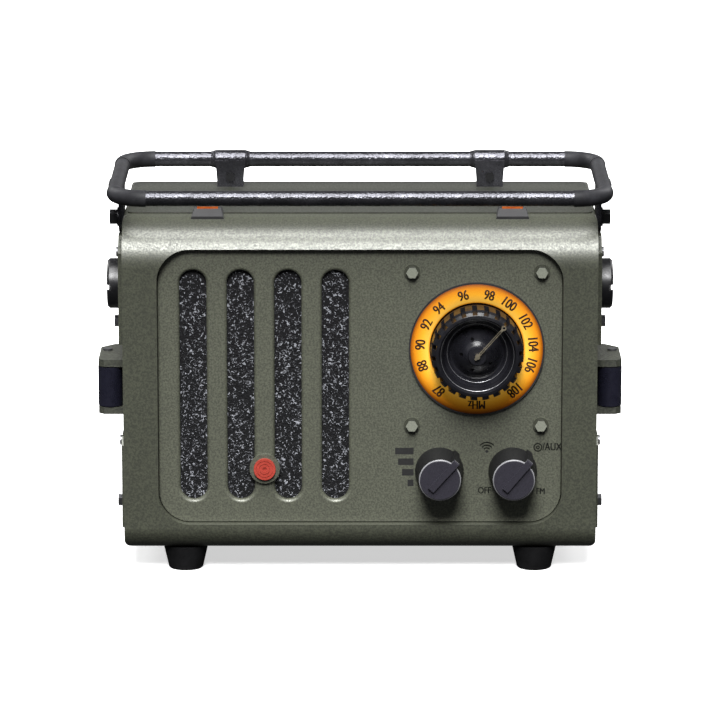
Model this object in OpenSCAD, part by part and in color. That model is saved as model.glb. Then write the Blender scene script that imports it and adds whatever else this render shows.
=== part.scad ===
// Portable field radio with a die-cast case, roof rack, wheel-shaped tuner and side draw latches.
// Millimetres. The origin is at floor level, under the middle of the overall box; the front faces -Y.

/* [Case] */
// Width of the case
case_w = 250; // [230:1:300]
// Height of the case without its feet
case_h = 177; // [165:1:215]
// Depth of the case from the front plane to the back wall
case_d = 125; // [121:1:155]
// Thickness of the case walls
wall = 3; // [2:0.25:4]
// Radius of the long top edge at the front
front_round = 24; // [18:1:27]
// Radius of the long bottom edge at the front
base_round = 12; // [8:1:14]
// Radius of the long edges at the back
rear_round = 5; // [4.5:0.5:8]
// Distance from the front plane to the joint between the two shells
split_y = 88; // [86:1:92]
// Thickness of the rubber seal between the shells
seal_t = 1.6; // [1:0.2:2.4]
// Radius of the bottom edges along the two sides
side_round = 5; // [3:0.5:5]
// How far the flat top plate stands above the shells
top_plate_t = 0.8; // [0.6:0.1:2]

/* [Front panel] */
// Distance from the side of the case to the recess that the front panel sits in
panel_side = 18.2; // [16:0.1:20]
// Distance from the top and the bottom of the case to the recess
panel_end = 14.35; // [13:0.05:15.5]
// Corner radius of the recess
panel_r = 17; // [12:1:20]
// Depth of the panel's face behind the front plane
recess = 5.5; // [3:0.5:7]
// Thickness of the panel
panel_t = 3; // [2.5:0.5:4]
// Seam between the panel and the recess
panel_gap = 0.5; // [0.3:0.1:0.8]
// Number of grille slots
slot_count = 4; // [3:1:4]
// Distance between two grille slots
slot_pitch = 25; // [23:0.5:26]
// Clear width of a grille slot
slot_w = 14.2; // [12:0.1:15]
// Clear height of a grille slot
slot_h = 124; // [110:1:126]
// Radius of the rolled edge around a slot
slot_lip = 1.8; // [1:0.1:2]
// Height of the grille's middle above the middle of the panel
slot_rise = 0.3; // [-2:0.1:2]
// Side position of the grille's middle
grille_x = -50.5; // [-52:0.5:-48]

/* [Tuner] */
// Side position of the dial
dial_x = 61.5; // [58:0.5:63]
// Height of the dial above the middle of the panel
dial_rise = 20.3; // [17:0.2:22]
// Outer radius of the numbered ring
scale_r = 34.9; // [33:0.1:36]
// Inner radius of the numbered ring
scale_in_r = 24.9; // [24.7:0.1:26]
// How far the numbered ring stands out of the panel
scale_h = 2.4; // [2:0.2:4]
// Radius of the wheel-shaped tuning knob
tyre_r = 24.3; // [22:0.1:24.5]
// How far the tuning knob stands out of the panel
tyre_h = 19.5; // [16:0.25:22]
// Number of tread blocks around the tuning knob
tread_count = 24; // [20:1:30]
// Angle of the needle at rest, clockwise from the top
needle_angle = 41.5; // [-138:0.5:138]
// Side distance between the four dial bolts
bolt_dx = 68.2; // [66:0.2:72]
// Upright distance between the four dial bolts
bolt_dz = 82.6; // [80:0.2:86]

/* [Small knobs] */
// Distance between the two small knobs
knob_dx = 38.9; // [36:0.1:42]
// Distance of the small knobs below the middle of the panel
knob_drop = 46; // [43:0.1:47]
// Radius of a small knob at the panel
knob_base_r = 12.9; // [11:0.1:14]
// Radius of a small knob at its face
knob_face_r = 11; // [10:0.1:11.5]
// Height of a small knob
knob_h = 21.4; // [18:0.2:24]
// Angle of the volume pointer at rest, clockwise from the top
volume_angle = 42; // [-140:1:140]
// Angle of the mode pointer at rest, clockwise from the top
mode_angle = 40; // [-127:1:127]

/* [Button] */
// Radius of the push button
button_r = 5.75; // [5:0.05:6.2]
// Distance of the button below the middle of the panel
button_drop = 44.5; // [42:0.2:47]
// Travel of the button
button_travel = 1.2; // [0.8:0.1:1.4]

/* [Rack] */
// Radius of the rack's rails
rail_r = 4.1; // [3.4:0.01:4.4]
// Radius of the rack's corner fittings
elbow_r = 4.4; // [4:0.1:4.8]
// Height of the rack's centre line above the case
rack_rise = 15; // [13:0.5:22]
// Overhang of the rack's centre line beyond each side of the case
rack_over = 3.4; // [3.1:0.1:4.5]
// Distance of the front rail ahead of the front plane
rack_front = 10; // [6:0.5:12]
// Distance of the rear rail ahead of the back wall
rack_back = 17; // [14:1:24]
// Radius of the rack's corners
rack_corner = 17; // [14:1:20]
// Side distance between the two rear clamps
clamp_dx = 141; // [120:1:150]

/* [Side hardware] */
// How far a latch bracket stands out of the side
ear_out = 15.4; // [15.2:0.2:17]
// Distance from the front plane to a latch bracket
ear_y = 45; // [40:1:45]
// Depth of a latch bracket
ear_d = 41; // [40:0.5:41.5]
// Thickness of a latch bracket's ears
ear_t = 3.8; // [3:0.2:4.2]
// Clear gap between the two ears
ear_gap = 22.2; // [20:0.2:24]
// Distance of the latches below the middle of the case
latch_drop = 9.6; // [7:0.2:12]
// Radius of the round cap on each side
disc_r = 13.4; // [12:0.2:14]
// Thickness of the round cap on each side
disc_t = 6.4; // [5:0.2:7]
// Thickness of the upper side plate
side_plate_t = 3; // [2:0.2:3.6]

/* [Feet] */
// Height of the feet
foot_h = 13; // [10:0.5:16]
// Radius of a foot at the case
foot_top_r = 12; // [10:0.5:13]
// Radius of a foot at the floor
foot_base_r = 9.2; // [8:0.1:10]
// Distance from the side of the case to the middle of a foot
foot_inset = 32; // [28:0.5:45]
// Distance from the front plane to the front feet
foot_front_y = 17; // [15:0.5:22]

/* [Hidden] */
$fn = 64;
eps = 0.5;
fit = 0.05;
run = 0.06;
air = 0.4;

screw_r = 1.5;
screw_head_r = 2.7;
screw_head_t = 1.8;
hex_across = 5.5;
hex_t = 2.6;
washer_r = 4.25;
washer_t = 0.8;
shaft_r = 3;

panel_face = recess;
panel_back = recess + panel_t;
ledge_t = 3;
ledge_w = 4;
front_wall = panel_back + ledge_t;
mid_z = foot_h + case_h / 2;
top_z = foot_h + case_h;
side_x = case_w / 2;
rear_y = case_d;
panel_w = case_w - 2 * panel_side;
panel_h = case_h - 2 * panel_end;
panel_z = mid_z - 0.1;
top_plate_edge = 2;
top_side_round = 2;
top_plate_gap = 3;
dish_y = 66;

needle_t = 0.8;
needle_lift = 1;
pointer_t = 1.2;
tuner_front = tyre_h + needle_lift + needle_t;
knob_front = knob_h + pointer_t;
front_reach = max(tuner_front, knob_front) - recess;
front_y = -(case_d + hex_t + washer_t - front_reach) / 2;

foam_t = 6;
foam_edge = 4;
foam_back = panel_back + foam_t;
baffle_t = 3;
baffle_back = foam_back + baffle_t;
grille_w = (slot_count - 1) * slot_pitch + slot_w;
grille_z = panel_z + slot_rise;
foam_w = grille_w + 2 * foam_edge;
foam_h = slot_h + 2 * foam_edge;

speaker_r = 41;
speaker_flange_t = 2;
speaker_cone_d = 17;
magnet_r = 26;
magnet_t = 14;
speaker_screw_r = 37.9;
speaker_edge = 7.4;

button_x = grille_x;
button_z = panel_z - button_drop;
boss_r = 8;
boss_t = 1.8;
button_front = 3.4;
stem_r = 2;
switch_w = 9;
switch_h = 7;
switch_d = 5.4;

dial_z = panel_z + dial_rise;
bezel_w = 0.9;
bezel_h = 1.6;
light_in_r = 26.2;
light_out_r = 32.6;
back_t = 3;
back_w = bolt_dx + 12;
back_h = bolt_dz + 10;
back_face = panel_back;
back_back = back_face + back_t;
bush_r = 5;
bush_t = 9;

hub_r = 17.4;
hub_lip_r = 15.8;
hub_lip_h = tyre_h - 8.5;
hub_front = tyre_h - 1;
bead_r = 19.2;
bead_depth = 2.2;
hub_edge_h = tyre_h - 5.6;
hub_cap_r = 5;
hub_cap_t = 1.2;
lug_count = 5;
lug_r = 0.95;
lug_ring = 8.4;
needle_w = 1.2;
needle_slot = 0.5;
needle_len = 20;
needle_eye = 1.3;

gear_m = 0.8;
pinion_teeth = 18;
wheel_teeth = 27;
gear_t = 4;
gear_space = gear_m * (pinion_teeth + wheel_teeth) / 2;
gear_y = back_back + bush_t - back_t + 1;
pressure = 25;

cap_w = 26;
cap_h = 24;
cap_plate_t = 1.5;
cap_y = gear_y + gear_t + 2;
cap_d = 18;
vane_count = 3;
vane_t = 0.8;
vane_pitch = 4;
rotor_r = 9;
rotor_shaft_r = 2;

knob_z = panel_z - knob_drop;
knob_left_x = dial_x - knob_dx / 2;
knob_right_x = dial_x + knob_dx / 2;
thread_r = 3.6;
nut_across = 10;
nut_t = 2.2;
thread_out = 4.6;
pot_r = 8.5;
pot_t = 10;
switch_side = 20;
switch_t = 13;
knob_cavity_r = 9.2;
knob_cavity_d = 6;
shaft_end = 17;
knob_lift = 0.6;

board_t = 1.6;
board_y = 54;
board_w = 84;
board_h = 112;
board_z = panel_z + 2;
post_r = 3;

pack_r = 9.3;
pack_len = 66;
pack_y = rear_y - 28;
pack_z = foot_h + 30;
pack_x = 0;
cover_w = 92;
cover_h = 44;
cover_t = 2.4;
cover_r = 5;
cover_bolt_dx = 78;
cover_bolt_dz = 30;

bay_x = 70;
bay_z = foot_h + 40;
bay_w = 46;
bay_h = 22;
bay_d = 9;
bay_r = 3;
bay_wall = 2;
usb_dz = -1;
jack_x = bay_x;
jack_z = bay_z + 24;
jack_r = 1.77;
jack_body_r = 4.2;
jack_rim_r = 5.6;
jack_rim_t = 1.4;
jack_depth = 10;
usb_w = 8.6;
usb_h = 2.8;
flap_t = 2;
flap_pin_r = 1;
flap_hinge_z = bay_z + bay_h / 2 - bay_wall - flap_t / 2 - air;
flap_hinge_y = rear_y - flap_t / 2 - 0.6;

rack_z = top_z + rack_rise;
rack_x = side_x + rack_over;
rack_rear = case_d - rack_back;
rail_half = rack_x - rack_corner;
clamp_len = 21;
clamp_r = 5;
clamp_taper = 2.5;
tab_w = 16.2;
tab_base_w = 14.2;
tab_t = 2.4;
block_t = 3.2;
block_d = 9;

bracket_t = 3;
bracket_w = 16;
bracket_y = 40;
bracket_drop = 19;
side_bolt_across = 7;
side_bolt_t = 5;

marker_dx = case_w - 89.2;
marker_w = 17.4;
marker_top_w = 13.8;
marker_y = 17;
marker_d = 15;
marker_t = 4;
lens_t = 1;
marker_slope = 5;
lens_inset = 1.4;

plate_y = 20;
plate_d = 40;
upper_plate_z = top_z - 69.5;
upper_plate_h = 57.5;
lower_plate_z = foot_h + 7.7;
lower_plate_h = 49;
lower_plate_t = 2;
plate_bevel = 8;
disc_z = top_z - 40;
disc_rim = 1.2;
upper_hex_z = top_z - 60.5;
upper_screw_z = top_z - 23;
lower_hex_z = foot_h + 18;
lower_screw_z = foot_h + 51;

latch_z = mid_z - latch_drop;
latch_pin_y = ear_y + 25;
latch_pin_out = 11.5;
rivet_r = 1.5;
rivet_head_r = 2.6;
rivet_head_t = 1;
latch_base_t = 1.2;
lever_clear = 0.5;
lever_h = ear_gap - 2 * lever_clear;
cheek_t = 1.8;
cheek_r = 4.6;
grip_r = 6.6;
grip_y = ear_y + 5.8;
grip_out = 9.1;
web_t = 1.8;
web_end_y = latch_pin_y - 14;
bail_r = 1.1;
bail_y = latch_pin_y - 10;
bail_half = lever_h / 2 - cheek_t - bail_r - 0.5;
bail_end_y = ear_y + ear_d + 12.4;
keeper_t = 4;
keeper_w = 9;
keeper_gap = 0.3;
keeper_base_t = 1.6;
keeper_d = 16;

foot_dx = case_w - 2 * foot_inset;
foot_plug_r = 3;

// ---- shared shapes ----

module place(x, y, z) {
    translate([x, front_y + y, z]) children();
}

module both_sides() {
    for (side = [0, 1])
        mirror([side, 0, 0]) children();
}

module rod_y(r, len) {
    rotate([-90, 0, 0]) cylinder(r = r, h = len);
}

module rod_x(r, len) {
    rotate([0, 90, 0]) cylinder(r = r, h = len);
}

// A hexagon prism along +Y, with a flat pair that stands upright
module hex_y(across, len) {
    rotate([-90, 0, 0]) cylinder(d = across / cos(30), h = len, $fn = 6);
}

module hex_x(across, len) {
    rotate([0, 90, 0]) cylinder(d = across / cos(30), h = len, $fn = 6);
}

module rounded_rect(w, h, r) {
    square([w - 2 * r, h], center = true);
    square([w, h - 2 * r], center = true);
    for (sx = [-1, 1], sy = [-1, 1])
        translate([sx * (w / 2 - r), sy * (h / 2 - r)]) circle(r);
}

// An upright rounded plate, from its face at the given y towards the back
module plate_y(w, h, t, r) {
    rotate([90, 0, 0]) translate([0, 0, -t]) linear_extrude(t) rounded_rect(w, h, r);
}

// A flat outline in Y and Z that runs along X, centred
module run_x(len) {
    translate([-len / 2, 0, 0]) rotate([90, 0, 90]) linear_extrude(len) children();
}

// Turns a part clockwise, as seen from the front, about an axis along Y
module clock(angle) {
    rotate([0, angle, 0]) children();
}

// ---- case ----

// Side outline of the case in Y and Z, drawn smaller all round by inset
module side_outline(inset) {
    y_lo = inset;
    y_hi = rear_y - inset;
    z_lo = foot_h + inset;
    z_hi = top_z - inset;
    polygon([
        [y_lo, foot_h + base_round], [base_round, z_lo],
        [rear_y - rear_round, z_lo], [y_hi, foot_h + rear_round],
        [y_hi, top_z - rear_round], [rear_y - rear_round, z_hi],
        [front_round, z_hi], [y_lo, top_z - front_round]
    ]);
    translate([base_round, foot_h + base_round]) circle(base_round - inset);
    translate([rear_y - rear_round, foot_h + rear_round]) circle(rear_round - inset);
    translate([rear_y - rear_round, top_z - rear_round]) circle(rear_round - inset);
    translate([front_round, top_z - front_round]) circle(front_round - inset);
}

// The stretch of side outline between two distances from the front plane
module side_band(inset, from_y, to_y) {
    intersection() {
        side_outline(inset);
        translate([from_y, 0]) square([to_y - from_y, top_z + eps]);
    }
}

// A length of the case: its side outline, with the long edges of both sides rounded
module case_block(inset, from_y, to_y) {
    w = case_w - 2 * inset;
    h = case_h - 2 * inset;
    taller = 2 * side_round;
    intersection() {
        translate([0, front_y, 0]) run_x(w) side_band(inset, from_y, to_y);
        place(0, -eps, mid_z + taller / 2) plate_y(w, h + taller, case_d + 2 * eps, side_round);
        place(0, -eps, mid_z - taller / 2) plate_y(w, h + taller, case_d + 2 * eps, top_side_round);
    }
}

module foot_places() {
    for (sx = [-1, 1], y = [foot_front_y, case_d - foot_front_y])
        place(sx * foot_dx / 2, y, 0) children();
}

module foot_holes() {
    foot_places() translate([0, 0, foot_h - eps]) cylinder(r = foot_plug_r + fit, h = wall + 2 * eps);
}

module front_shell() {
    color("#5d5f50") difference() {
        case_block(0, -eps, split_y);
        translate([0, front_y, 0]) run_x(case_w - 2 * wall) side_band(wall, front_wall, split_y + eps);
        place(0, -eps, panel_z) plate_y(panel_w, panel_h, panel_back + eps, panel_r);
        place(0, 0, panel_z)
            plate_y(panel_w - 2 * ledge_w, panel_h - 2 * ledge_w, front_wall + eps, panel_r - ledge_w);
        foot_holes();
    }
}

module rear_shell() {
    start = split_y + seal_t;
    color("#5d5f50") difference() {
        case_block(0, start, rear_y + eps);
        translate([0, front_y, 0]) run_x(case_w - 2 * wall) side_band(wall, start - eps, rear_y - wall);
        place(pack_x, rear_y - cover_t - fit, pack_z) plate_y(cover_w, cover_h, cover_t + eps, cover_r);
        for (sx = [-1, 1], sz = [-1, 1])
            place(pack_x + sx * cover_bolt_dx / 2, rear_y - wall - eps, pack_z + sz * cover_bolt_dz / 2)
                rod_y(screw_r + fit, wall);
        place(bay_x, rear_y - wall - eps, bay_z) plate_y(bay_w, bay_h, wall + 2 * eps, bay_r);
        place(jack_x, rear_y - wall - eps, jack_z) rod_y(jack_body_r + fit, wall + 2 * eps);
        foot_holes();
    }
}

module case_gasket() {
    lip = 0.6;
    color("#151515") difference() {
        case_block(lip, split_y, split_y + seal_t);
        translate([0, front_y, 0])
            run_x(case_w - 2 * wall) side_band(wall, split_y - eps, split_y + seal_t + eps);
    }
}

module top_plate_block() {
    start = front_round + top_plate_gap;
    end = rear_y - rear_round - top_plate_edge;
    place(0, (start + end) / 2, top_z) linear_extrude(top_plate_t)
        rounded_rect(case_w - 2 * top_plate_edge, end - start, 4);
}

module top_plate() {
    dish_r = 15;
    dish_depth = 0.4;
    color("#5d5f50") difference() {
        top_plate_block();
        place(0, dish_y, top_z + top_plate_t - dish_depth) cylinder(r = dish_r, h = 1);
    }
}

// ---- front panel ----

// Half section of one slot and its rolled front edge; x is from the slot's middle, y is depth
module slot_section() {
    translate([0, -eps]) square([slot_w / 2, panel_t + 2 * eps]);
    translate([0, -eps]) square([slot_w / 2 + slot_lip, eps]);
    difference() {
        square([slot_w / 2 + slot_lip, slot_lip]);
        translate([slot_w / 2 + slot_lip, slot_lip]) circle(slot_lip);
    }
}

module slot_cut() {
    straight = slot_h - slot_w;
    translate([0, 0, -straight / 2]) linear_extrude(straight) {
        slot_section();
        mirror([1, 0]) slot_section();
    }
    for (end = [-1, 1])
        translate([0, 0, end * straight / 2]) rotate([-90, 0, 0]) rotate_extrude() slot_section();
}

module bolt_places() {
    for (sx = [-1, 1], sz = [-1, 1])
        place(dial_x + sx * bolt_dx / 2, 0, dial_z + sz * bolt_dz / 2) children();
}

module control_places() {
    for (x = [knob_left_x, knob_right_x])
        place(x, 0, knob_z) children();
}

module front_panel() {
    color("#63655a") difference() {
        place(0, panel_face, panel_z)
            plate_y(panel_w - 2 * panel_gap, panel_h - 2 * panel_gap, panel_t, panel_r - panel_gap);
        for (i = [0 : slot_count - 1])
            place(grille_x + (i - (slot_count - 1) / 2) * slot_pitch, panel_face, grille_z) slot_cut();
        place(dial_x, panel_face - eps, dial_z) rod_y(light_out_r + fit, panel_t + 2 * eps);
        bolt_places() translate([0, panel_face - eps, 0]) rod_y(screw_r + fit, panel_t + 2 * eps);
        control_places() translate([0, panel_face - eps, 0]) rod_y(thread_r + fit, panel_t + 2 * eps);
        place(button_x, panel_face - eps, button_z) rod_y(stem_r + air, panel_t + 2 * eps);
    }
}

module grille_foam() {
    color("#18181a") difference() {
        place(grille_x, panel_back, grille_z) plate_y(foam_w, foam_h, foam_t, 4);
        place(button_x, panel_back - eps, button_z)
            plate_y(switch_w + 2 * air, switch_h + 2 * air, foam_t + 2 * eps, 1);
    }
}

// ---- push button ----

module button_boss() {
    color("#63655a") place(button_x, panel_face - boss_t, button_z) difference() {
        rod_y(boss_r, boss_t);
        translate([0, -eps, 0]) rod_y(button_r + run, boss_t + 2 * eps);
    }
}

module red_button() {
    back = boss_t;
    stem_back = panel_t + 0.2;
    color("#d8301f") place(button_x, panel_face, button_z) {
        difference() {
            translate([0, -button_front, 0]) rod_y(button_r, button_front - button_travel - air);
            translate([0, -button_front - eps, 0]) rod_y(1.1, eps + 0.5);
            for (r = [2.6, 4.2])
                translate([0, -button_front - eps, 0]) difference() {
                    rod_y(r + 0.3, eps + 0.35);
                    translate([0, -eps, 0]) rod_y(r, 3 * eps + 0.35);
                }
        }
        translate([0, -back, 0]) rod_y(stem_r, back + stem_back);
    }
}

module button_switch() {
    pocket = button_travel + air;
    color("#222222") place(button_x, panel_back, button_z) difference() {
        plate_y(switch_w, switch_h, switch_d, 0.8);
        translate([0, -eps, 0]) rod_y(stem_r + air, pocket + eps);
    }
}

// ---- dial ----

module dial_bezel() {
    color("#141414") place(dial_x, panel_face - bezel_h, dial_z) difference() {
        rod_y(scale_r + bezel_w, bezel_h);
        translate([0, -eps, 0]) rod_y(scale_r + fit, bezel_h + 2 * eps);
    }
}

// The numbered ring: a low crown that rises from its inner edge
module dial_scale() {
    crown_r = 12;
    crown_x = scale_in_r + 6;
    color("#f5a524") place(dial_x, panel_face, dial_z) rotate([90, 0, 0]) rotate_extrude()
        intersection() {
            translate([scale_in_r, 0]) square([scale_r - scale_in_r, scale_h]);
            translate([crown_x, scale_h - crown_r]) circle(crown_r);
        }
}

module light_ring() {
    color("#f2efe4") place(dial_x, panel_face, dial_z) difference() {
        rod_y(light_out_r, panel_t);
        translate([0, -eps, 0]) rod_y(light_in_r, panel_t + 2 * eps);
    }
}

module dial_backplate() {
    color("#2a2a2a") difference() {
        place(dial_x, back_face, dial_z) plate_y(back_w, back_h, back_t, 10);
        place(dial_x, back_face - eps, dial_z) rod_y(bush_r + fit, back_t + 2 * eps);
        bolt_places() translate([0, back_face - eps, 0]) rod_y(screw_r + fit, back_t + 2 * eps);
    }
}

module dial_bolts() {
    color("#6c6e62") bolt_places() {
        translate([0, panel_face - washer_t, 0]) rod_y(washer_r, washer_t);
        translate([0, panel_face - washer_t - hex_t, 0]) hex_y(hex_across, hex_t);
        translate([0, panel_face, 0]) rod_y(screw_r, panel_t + back_t + 2);
    }
}

// ---- tuning knob ----

module tuner_place() {
    place(dial_x, panel_face, dial_z) clock(needle_angle) children();
}

// Section of the tyre; x is the radius and y is the height above the panel
module tyre_section() {
    polygon([
        [hub_r, 1], [tyre_r - 1.5, 1], [tyre_r, 3], [tyre_r, tyre_h - 3.2],
        [tyre_r - 1, tyre_h - 1.2], [tyre_r - 2.6, tyre_h - 0.2],
        [tyre_r - 4, tyre_h], [bead_r, tyre_h - bead_depth], [hub_r, hub_edge_h]
    ]);
}

module tuner_tyre() {
    tread_depth = 2.4;
    tread_w = 2.6;
    tread_len = tyre_h - 4;
    color("#141415") tuner_place() difference() {
        rotate([90, 0, 0]) rotate_extrude() tyre_section();
        for (i = [0 : tread_count - 1])
            clock(i * 360 / tread_count)
                translate([-tread_w / 2, -tyre_h - eps, tyre_r - tread_depth])
                    cube([tread_w, tread_len, tread_depth + 1]);
    }
}

// Section of the hub: a sloping rim, a deep dish and a domed middle with a cap
module hub_section() {
    dish = hub_lip_h - 3;
    polygon([
        [0, 1], [hub_r - fit, 1], [hub_r - fit, hub_edge_h], [hub_lip_r, hub_lip_h],
        [hub_lip_r - 0.8, hub_lip_h - 0.8], [hub_lip_r - 1.4, dish + 0.5],
        [hub_lip_r - 2.2, dish], [hub_lip_r - 3.4, dish + 0.8], [lug_ring + 1.6, dish + 4],
        [lug_ring - 1, dish + 7.2], [hub_cap_r + 0.7, dish + 8.8],
        [hub_cap_r + 0.2, dish + 9], [hub_cap_r, dish + 9.8],
        [hub_cap_r - 0.4, hub_front + hub_cap_t], [0, hub_front + hub_cap_t]
    ]);
}

module tuner_hub() {
    color("#17171a") tuner_place() difference() {
        rotate([90, 0, 0]) rotate_extrude() hub_section();
        translate([0, -shaft_end + 2, 0]) rod_y(shaft_r + fit / 2, shaft_end);
        for (i = [0 : lug_count - 1])
            clock(i * 360 / lug_count - 60)
                translate([0, -hub_front, lug_ring]) rod_y(lug_r, hub_front - hub_lip_h);
    }
}

module tuner_needle() {
    start = hub_front + hub_cap_t;
    color("#c8b27a") tuner_place() {
        translate([0, -tuner_front, 0]) rod_y(1.3, tuner_front - start);
        difference() {
            union() {
                translate([-needle_w / 2, -tuner_front, -2]) cube([needle_w, needle_t, needle_len + 2]);
                translate([0, -tuner_front, needle_len + needle_eye / 2]) rod_y(needle_eye, needle_t);
            }
            translate([0, -tuner_front - eps, needle_len + needle_eye / 2])
                rod_y(needle_eye / 2, needle_t + 2 * eps);
            translate([-needle_slot / 2, -tuner_front - eps, 2])
                cube([needle_slot, needle_t + 2 * eps, needle_len - 3.5]);
        }
    }
}

function involute(base, r) = (sqrt(pow(r / base, 2) - 1) * 180 / PI) - acos(base / r);

// Spur gear outline, with teeth thinned by slack degrees so that it runs free
module gear_outline(teeth, slack) {
    pitch_r = gear_m * teeth / 2;
    base = pitch_r * cos(pressure);
    tip = pitch_r + gear_m * 0.9;
    root = pitch_r - gear_m * 1.2;
    half = 90 / teeth - slack;
    radii = [for (k = [0 : 3]) max(base, root) * (1 - k / 3) + tip * k / 3 + (k == 0 ? 0.001 : 0)];
    sides = [for (r = radii) [r, half + involute(base, pitch_r) - involute(base, r)]];
    polygon([
        for (i = [0 : teeth - 1])
            let (mid = i * 360 / teeth)
            each concat(
                [root * [cos(mid - sides[0][1]), sin(mid - sides[0][1])]],
                [for (s = sides) s[0] * [cos(mid - s[1]), sin(mid - s[1])]],
                [for (k = [3 : -1 : 0]) sides[k][0] * [cos(mid + sides[k][1]), sin(mid + sides[k][1])]],
                [root * [cos(mid + sides[0][1]), sin(mid + sides[0][1])]]
            )
    ]);
}

// A gear along +Y, turned so that a tooth, or a gap, meets the other gear of the pair
module gear(teeth, slack, meets, offset) {
    step = 360 / teeth;
    clock(meets % step - offset * step) rotate([-90, 0, 0]) linear_extrude(gear_t)
        gear_outline(teeth, slack);
}

module tuner_shaft() {
    tail = 6;
    color("#b9bcc0") place(dial_x, 0, dial_z) {
        translate([0, panel_face - shaft_end + 2 + fit, 0])
            rod_y(shaft_r, gear_y + gear_t + tail - panel_face + shaft_end - 2);
        translate([0, gear_y, 0]) difference() {
            gear(pinion_teeth, 0.9, 90, 0.5);
            translate([0, -eps, 0]) rod_y(shaft_r - fit, gear_t + 2 * eps);
        }
    }
}

module tuner_bush() {
    flange_r = 7;
    flange_t = 1.5;
    color("#b08d4a") place(dial_x, 0, dial_z) difference() {
        union() {
            translate([0, back_face, 0]) rod_y(bush_r, bush_t);
            translate([0, back_back, 0]) rod_y(flange_r, flange_t);
        }
        translate([0, back_face - eps, 0]) rod_y(shaft_r + run, bush_t + 2 * eps);
    }
}

// ---- tuning capacitor ----

module cap_place() {
    place(dial_x, 0, dial_z - gear_space) children();
}

module capacitor_frame() {
    shelf = rotor_r + 2;
    color("#b4b7ba") cap_place() {
        difference() {
            for (y = [cap_y, cap_y + cap_d])
                translate([-cap_w / 2, y, -cap_h / 2]) cube([cap_w, cap_plate_t, cap_h]);
            translate([0, cap_y - eps, 0]) rod_y(rotor_shaft_r + run, cap_d + cap_plate_t + 2 * eps);
        }
        translate([-cap_w / 2, cap_y + cap_plate_t, -cap_h / 2])
            cube([cap_w, cap_d - cap_plate_t, cap_h / 2 - shelf + 1]);
        for (sx = [-1, 1])
            translate([sx * (cap_w / 2 - 2) - 1.5, back_back, cap_h / 2 - 3])
                cube([3, cap_y - back_back, 3]);
        for (i = [0 : vane_count])
            translate([-rotor_r, cap_y + cap_plate_t + 1.6 + i * vane_pitch, -cap_h / 2 + 1])
                cube([2 * rotor_r, vane_t, cap_h / 2 - 1 - rotor_shaft_r - 1]);
    }
}

module capacitor_rotor() {
    color("#c9a95a") cap_place() {
        translate([0, gear_y, 0]) rod_y(rotor_shaft_r, cap_y + cap_d + cap_plate_t + 2 - gear_y);
        translate([0, gear_y, 0]) difference() {
            gear(wheel_teeth, 0.6, 270, 0);
            translate([0, -eps, 0]) rod_y(rotor_shaft_r - fit, gear_t + 2 * eps);
        }
        for (i = [0 : vane_count - 1])
            translate([0, cap_y + cap_plate_t + 1.6 + (i + 0.5) * vane_pitch, 0])
                rotate([-90, 0, 0]) difference() {
                    cylinder(r = rotor_r - 1, h = vane_t);
                    translate([-rotor_r, 0, -eps]) cube([2 * rotor_r, rotor_r, vane_t + 2 * eps]);
                    translate([0, 0, -eps]) cylinder(r = rotor_shaft_r - fit, h = vane_t + 2 * eps);
                }
    }
}

// ---- small knobs ----

// Pointer in the plane of radius and height: a bar over the face that turns down the skirt
module pointer_outline() {
    tail = 7.5;
    nose = knob_face_r + 2.3;
    polygon([
        [-tail, knob_h - 1], [-tail, knob_front - 0.4], [-tail + 0.5, knob_front],
        [nose - 0.6, knob_front], [nose, knob_front - 0.7],
        [knob_base_r + 1.2, knob_lift + 0.6], [knob_base_r + 1.2, knob_lift],
        [knob_base_r - 2, knob_lift], [knob_face_r - 2, knob_h - 1]
    ]);
}

module pointer_knob(angle) {
    pointer_w = 3.4;
    edge = 0.7;
    color("#1b1a1f") clock(angle) difference() {
        union() {
            rotate([90, 0, 0]) {
                translate([0, 0, knob_lift])
                    cylinder(r1 = knob_base_r, r2 = knob_face_r + 0.1, h = knob_h - knob_lift - edge);
                translate([0, 0, knob_h - edge])
                    cylinder(r1 = knob_face_r + 0.1, r2 = knob_face_r - edge, h = edge);
            }
            translate([pointer_w / 2, 0, 0]) rotate([0, -90, 0]) linear_extrude(pointer_w)
                mirror([0, 1]) pointer_outline();
        }
        translate([0, -knob_cavity_d, 0]) rod_y(knob_cavity_r, knob_cavity_d + eps);
        translate([0, -shaft_end - fit, 0]) rod_y(shaft_r + fit / 2, shaft_end);
    }
}

module volume_knob() {
    place(knob_left_x, panel_face, knob_z) pointer_knob(volume_angle);
}

module mode_knob() {
    place(knob_right_x, panel_face, knob_z) pointer_knob(mode_angle);
}

module control_shaft() {
    inner = 6;
    color("#b9bcc0") translate([0, panel_face - shaft_end, 0])
        rod_y(shaft_r, shaft_end + panel_t + inner);
}

module volume_shaft() {
    place(knob_left_x, 0, knob_z) control_shaft();
}

module mode_shaft() {
    place(knob_right_x, 0, knob_z) control_shaft();
}

module control_bore() {
    translate([0, panel_face - thread_out - eps, 0])
        rod_y(shaft_r + run, thread_out + eps + panel_t + 6.5);
}

module volume_control() {
    color("#9a9da0") place(knob_left_x, 0, knob_z) difference() {
        union() {
            translate([0, panel_back, 0]) rod_y(pot_r, pot_t);
            translate([0, panel_face - thread_out, 0]) rod_y(thread_r, thread_out + panel_t);
            translate([-pot_r + 1, panel_back + 2, -pot_r - 5]) cube([2 * pot_r - 2, 1.6, 8]);
        }
        control_bore();
    }
}

module mode_switch() {
    color("#3b3b3e") place(knob_right_x, 0, knob_z) difference() {
        union() {
            translate([0, panel_back, 0]) plate_y(switch_side, switch_side, switch_t, 2);
            translate([0, panel_face - thread_out, 0]) rod_y(thread_r, thread_out + panel_t);
        }
        control_bore();
    }
}

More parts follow.
